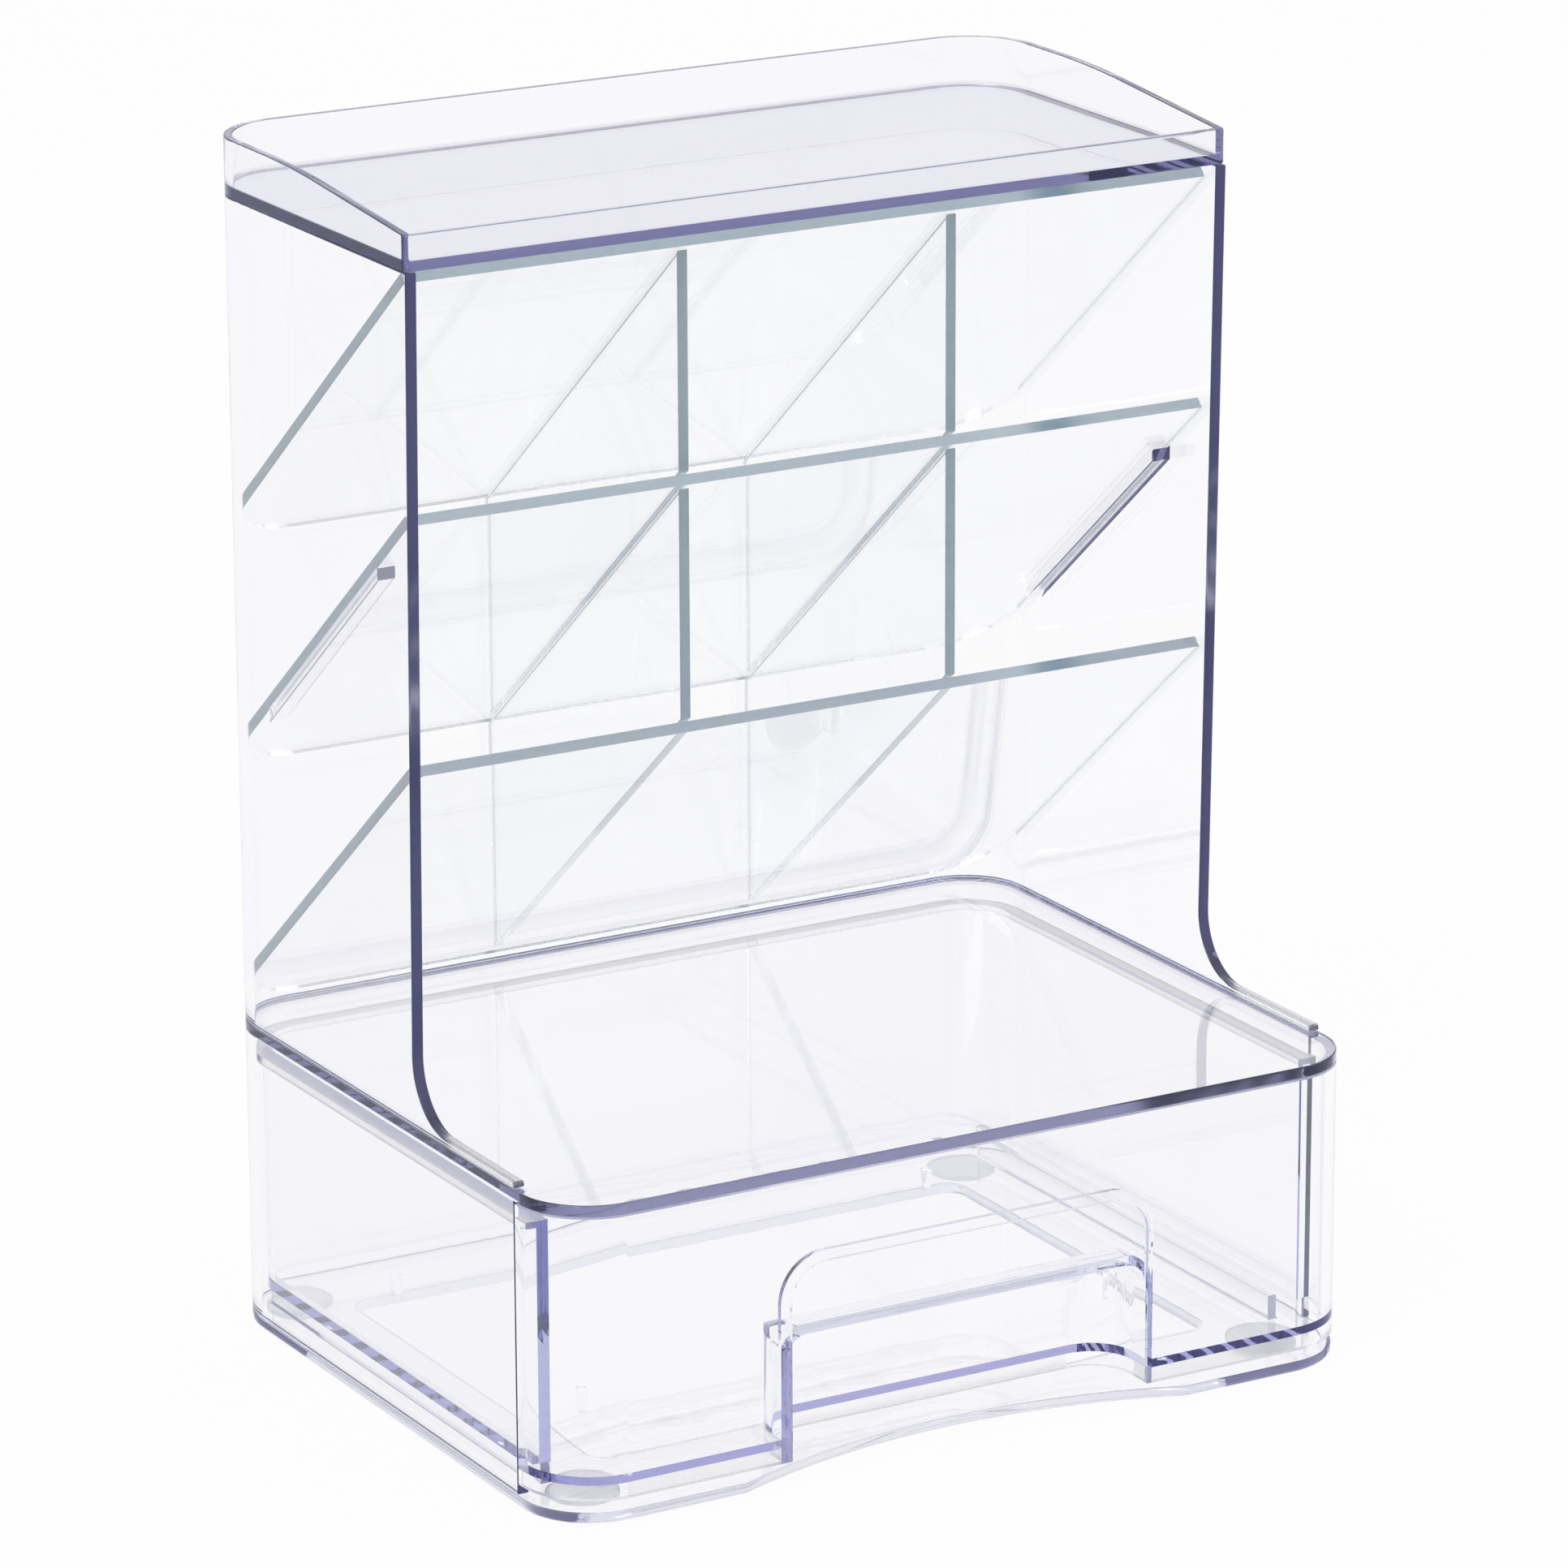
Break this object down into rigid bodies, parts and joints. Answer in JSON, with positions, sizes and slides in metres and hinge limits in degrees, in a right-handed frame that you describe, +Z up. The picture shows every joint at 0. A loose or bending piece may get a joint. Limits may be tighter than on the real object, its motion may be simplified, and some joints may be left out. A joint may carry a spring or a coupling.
{
  "type": "drawer organizer",
  "caption": "Clear plastic desktop organizer with a pull-out drawer, an open shelf, a slanted rack of pen pockets and a raised top tray",
  "frame": {"origin": "middle of the base on the table, under the middle of the bounding box", "axes": "+X to the right seen from the front, +Y to the back, +Z up; the drawer opens towards -Y"},
  "size_m": [0.226, 0.177, 0.3059],
  "materials": {
    "clear_housing": "clear moulded plastic, polished, with indigo-tinted edges",
    "clear_tray": "clear moulded plastic, polished, faint grey-lavender",
    "clear_rack": "clear cut sheet, polished faces, grey-blue edges",
    "clear_drawer": "clear moulded plastic, polished, with violet-blue edges",
    "grey_pad": "soft pale grey, satin"
  },
  "bodies": {
    "organizer": {"tower_shell": "clear_housing", "top_tray": "clear_tray", "slanted_shelf_top": "clear_rack", "slanted_shelf_middle": "clear_rack", "slanted_shelf_bottom": "clear_rack", "divider_upper_left": "clear_rack", "divider_upper_right": "clear_rack", "divider_lower_left": "clear_rack", "divider_lower_right": "clear_rack", "base_casing": "clear_housing", "base_frame": "clear_housing", "foot_front_left": "grey_pad", "foot_front_right": "grey_pad", "foot_back_left": "grey_pad", "foot_back_right": "grey_pad"},
    "drawer": {"drawer": "clear_drawer"}
  },
  "joints": [
    {"name": "drawer_slide", "type": "slide", "parent": "organizer", "child": "drawer", "axis": [0, -1, 0], "range_m": [0, 0.12]}
  ]
}
